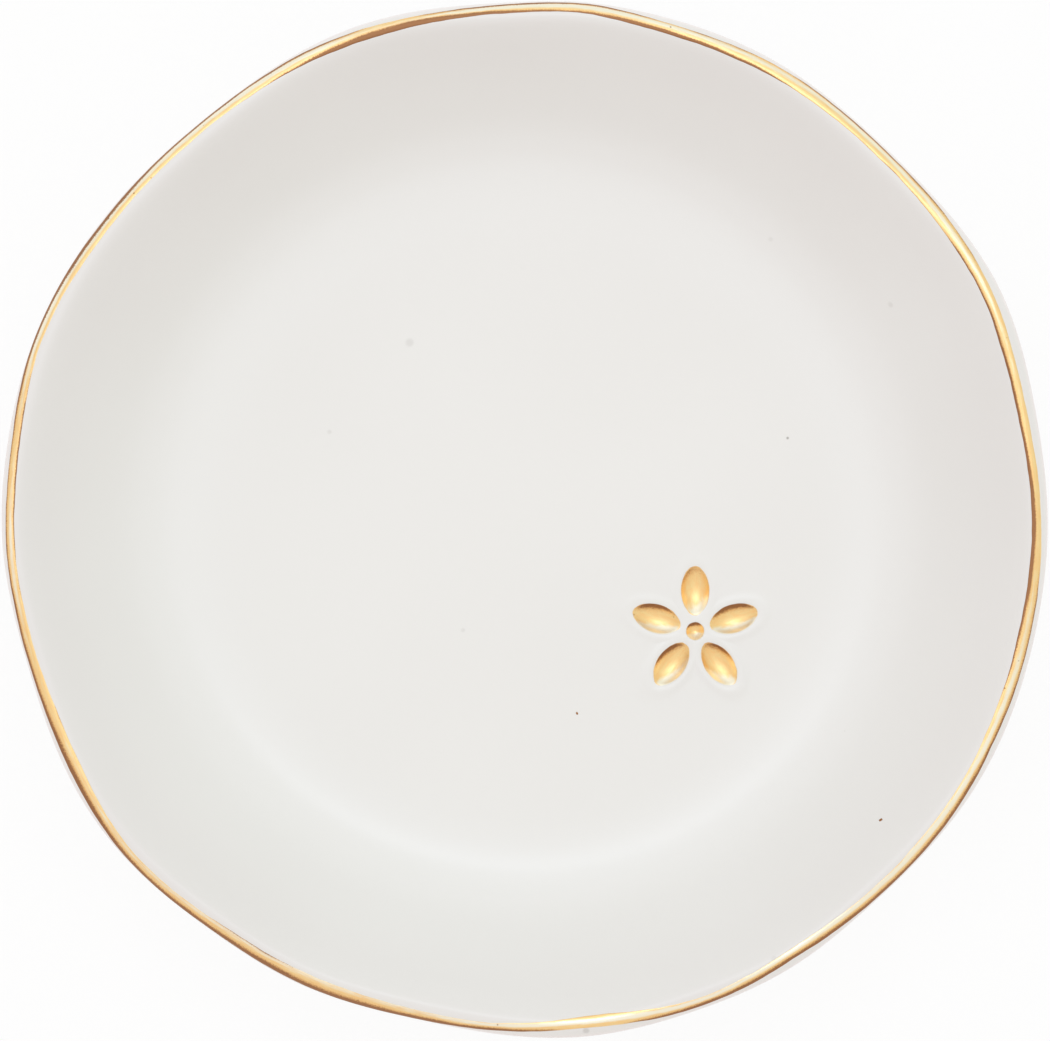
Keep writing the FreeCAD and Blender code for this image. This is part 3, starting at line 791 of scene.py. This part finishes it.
# fleck: a low irregular dome, rings shrinking to its top, set a little into the glaze square to the surface
def goldFleck(x, y, radius):
    place = onDish(x, y)
    outward = np.array([x, y, 0]) / np.hypot(x, y)
    further = 1 + 0.4 / np.hypot(x, y)       # 0.4 mm further out
    ahead = onDish(x * further, y * further) - place
    slope = ahead / np.linalg.norm(ahead)
    sideways = np.cross([0, 0, 1], outward)
    normal = np.cross(slope, sideways)
    place = place + normal * coatUneven(place)
    turn = np.linspace(0, fullTurn, flecks["around"], endpoint=False)[None, :]
    rise = upTo(fullTurn / 4, flecks["rings"])[:, None]
    under = np.linspace(1, 0, flecks["underRings"] + 2)[1:-1, None]
    ring = np.concatenate([np.sin(rise), under])
    lift = np.concatenate([np.cos(rise) * flecks["height"], 0 * under - flecks["sunk"]])
    width = radius * ring * (1 + tremble(*flecks["wobble"])(turn))
    points = (place + (width * np.cos(turn))[..., None] * slope + (width * np.sin(turn))[..., None] * sideways
              + (lift + 0 * turn)[..., None] * normal)
    return gridPiece(points, np.array([place + normal * flecks["height"], place - normal * flecks["sunk"]]))


fleckGrids = [goldFleck(*place) for place in flecks["places"]]
fleckPoints = np.vstack([grid[0] for grid in fleckGrids])
makePiece("goldFlecks", fleckGrids, markGold, "gold", thin=np.full(len(fleckPoints), flecks["thin"]),
          sheen=np.zeros(len(fleckPoints)), brush=fleckPoints * flecks["marks"])

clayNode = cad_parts["clay_body"]
clayNode.data.materials.clear()
clayNode.data.materials.append(bareClay)
print("pieces placed")

studio = {
    # dome: strengths, where each takes over by height, colours
    "overhead": 0.893, "around": 0.845, "horizon": 0.47, "lowEdges": (0.0, 0.18), "highEdges": (0.35, 0.9),
    "rosy": (1.0, 0.932, 0.914, 1), "cool": (1.0, 1.03, 0.974, 1), "low": (1.0, 0.93, 0.86, 1),
    "coolAim": (0.6, 0.8, 0.0), "backdropEdges": (0.08, 0.12),
    "bank": 0.5, "bankAim": (-0.19, 0.462, 0.866), "bankEdges": (0.82, 0.99),
    "bankColour": (0.72, 0.81, 1.0, 1),
    # floor and soft box in metres and watts
    "floor": (0.92, 0.915, 0.905, 1), "floorWhite": 0.9, "floorReach": 2.0, "floorDrop": 2e-5,
    "boxPlace": (0.0, 0.205, 0.60), "boxSize": (0.50, 0.14), "boxPower": 0.40, "boxColour": (0.80, 0.88, 1.0),
}


# 1 for the rays that show a background: seen straight, mirrored or through glass
def seenRays(wire):
    straight, mirrored, through = (wire.node("ShaderNodeLightPath", out=name)
                                   for name in ("Is Camera Ray", "Is Glossy Ray", "Is Transmission Ray"))
    return wire.math("MAXIMUM", wire.math("MAXIMUM", straight, mirrored), through)


# room light: a dome, bright overhead, a little dimmer around and dark and warm at the horizon, turning from
# rosy to cool across the room, with a broad cool bank of light above the far side; behind the floor's far edge
# it is seen white
def softRoom():
    world = bpy.data.worlds.new("softRoom")
    world.use_nodes = True
    world.node_tree.nodes.clear()
    wire = Wire(world.node_tree)
    aim = wire.node("ShaderNodeTexCoord", out="Generated")
    up = wire.node("ShaderNodeSeparateXYZ", {}, {"Vector": aim}, out="Z")
    low, high = up.step(*studio["lowEdges"]), up.step(*studio["highEdges"])
    strength = (studio["horizon"] + low * (studio["around"] - studio["horizon"])
                + high * (studio["overhead"] - studio["around"]))
    aside = wire.towards(aim, studio["coolAim"]) * 0.5 + 0.5
    colour = low.blend(studio["low"], aside.blend(studio["rosy"], studio["cool"]))
    dome = wire.node("ShaderNodeBackground", {}, {"Color": colour, "Strength": strength})
    shine = wire.towards(aim, studio["bankAim"]).step(*studio["bankEdges"]) * studio["bank"]
    bank = wire.node("ShaderNodeBackground", {}, {"Color": studio["bankColour"], "Strength": shine})
    light = wire.node("ShaderNodeAddShader", {}, {0: dome, 1: bank})
    white = wire.node("ShaderNodeBackground", {}, {"Color": (1, 1, 1, 1), "Strength": 1.0})
    backdrop = seenRays(wire) * (1 - up.step(*studio["backdropEdges"]))
    surface = wire.node("ShaderNodeMixShader", {}, {0: backdrop, 1: light, 2: white})
    wire.node("ShaderNodeOutputWorld", {}, {"Surface": surface})
    scene.world = world


# floor: pale and plain; seen straight or mirrored it is near white, and it keeps some of the dish's shadow
def paleFloor():
    mesh = bpy.data.meshes.new("paleFloor")
    reach, drop = studio["floorReach"], studio["floorDrop"]
    corners = [(x * reach, y * reach, -drop) for x, y in ((-1, -1), (1, -1), (1, 1), (-1, 1))]
    mesh.from_pydata(corners, [], [(0, 1, 2, 3)])
    finish = bpy.data.materials.new("paleFloor")
    finish.use_nodes = True
    finish.node_tree.nodes.clear()
    wire = Wire(finish.node_tree)
    seen = seenRays(wire)
    matt = wire.node("ShaderNodeBsdfDiffuse", {}, {"Color": studio["floor"]})
    white = wire.node("ShaderNodeEmission", {}, {"Color": (1, 1, 1, 1), "Strength": 1.0})
    surface = wire.node("ShaderNodeMixShader", {}, {0: seen * studio["floorWhite"], 1: matt, 2: white})
    wire.node("ShaderNodeOutputMaterial", {}, {"Surface": surface})
    mesh.materials.append(finish)
    floor = bpy.data.objects.new("paleFloor", mesh)
    scene.collection.objects.link(floor)


# soft box above the dish's far side: gives the soft crescent low on the near wall
def softBox():
    lamp = bpy.data.lights.new("softBox", "AREA")
    lamp.shape = "RECTANGLE"
    lamp.size, lamp.size_y = studio["boxSize"]
    lamp.energy = studio["boxPower"]
    lamp.color = studio["boxColour"]
    box = bpy.data.objects.new("softBox", lamp)
    box.location = studio["boxPlace"]
    box.rotation_euler = (-np.arctan2(studio["boxPlace"][1], studio["boxPlace"][2]), 0, 0)
    scene.collection.objects.link(box)


view = {
    "distance": 600.0, "rimPlane": 16.5, "frameWidth": 100.28, "right": 0.134, "up": -0.124,
    "sensor": 36.0, "nearest": 10.0,
}


# camera: straight above the dish, the frame's width at the rim's plane set by its lens
def overhead():
    camera = bpy.data.cameras.new("overhead")
    camera.sensor_width = view["sensor"]
    camera.lens = camera.sensor_width * view["distance"] / view["frameWidth"]
    camera.clip_start = view["nearest"] * mm
    eye = bpy.data.objects.new("overhead", camera)
    eye.location = (view["right"] * mm, view["up"] * mm, (view["rimPlane"] + view["distance"]) * mm)
    scene.collection.objects.link(eye)
    scene.camera = eye


softRoom()
paleFloor()
softBox()
overhead()
scene.view_settings.view_transform = "Standard"
print("studio lit")
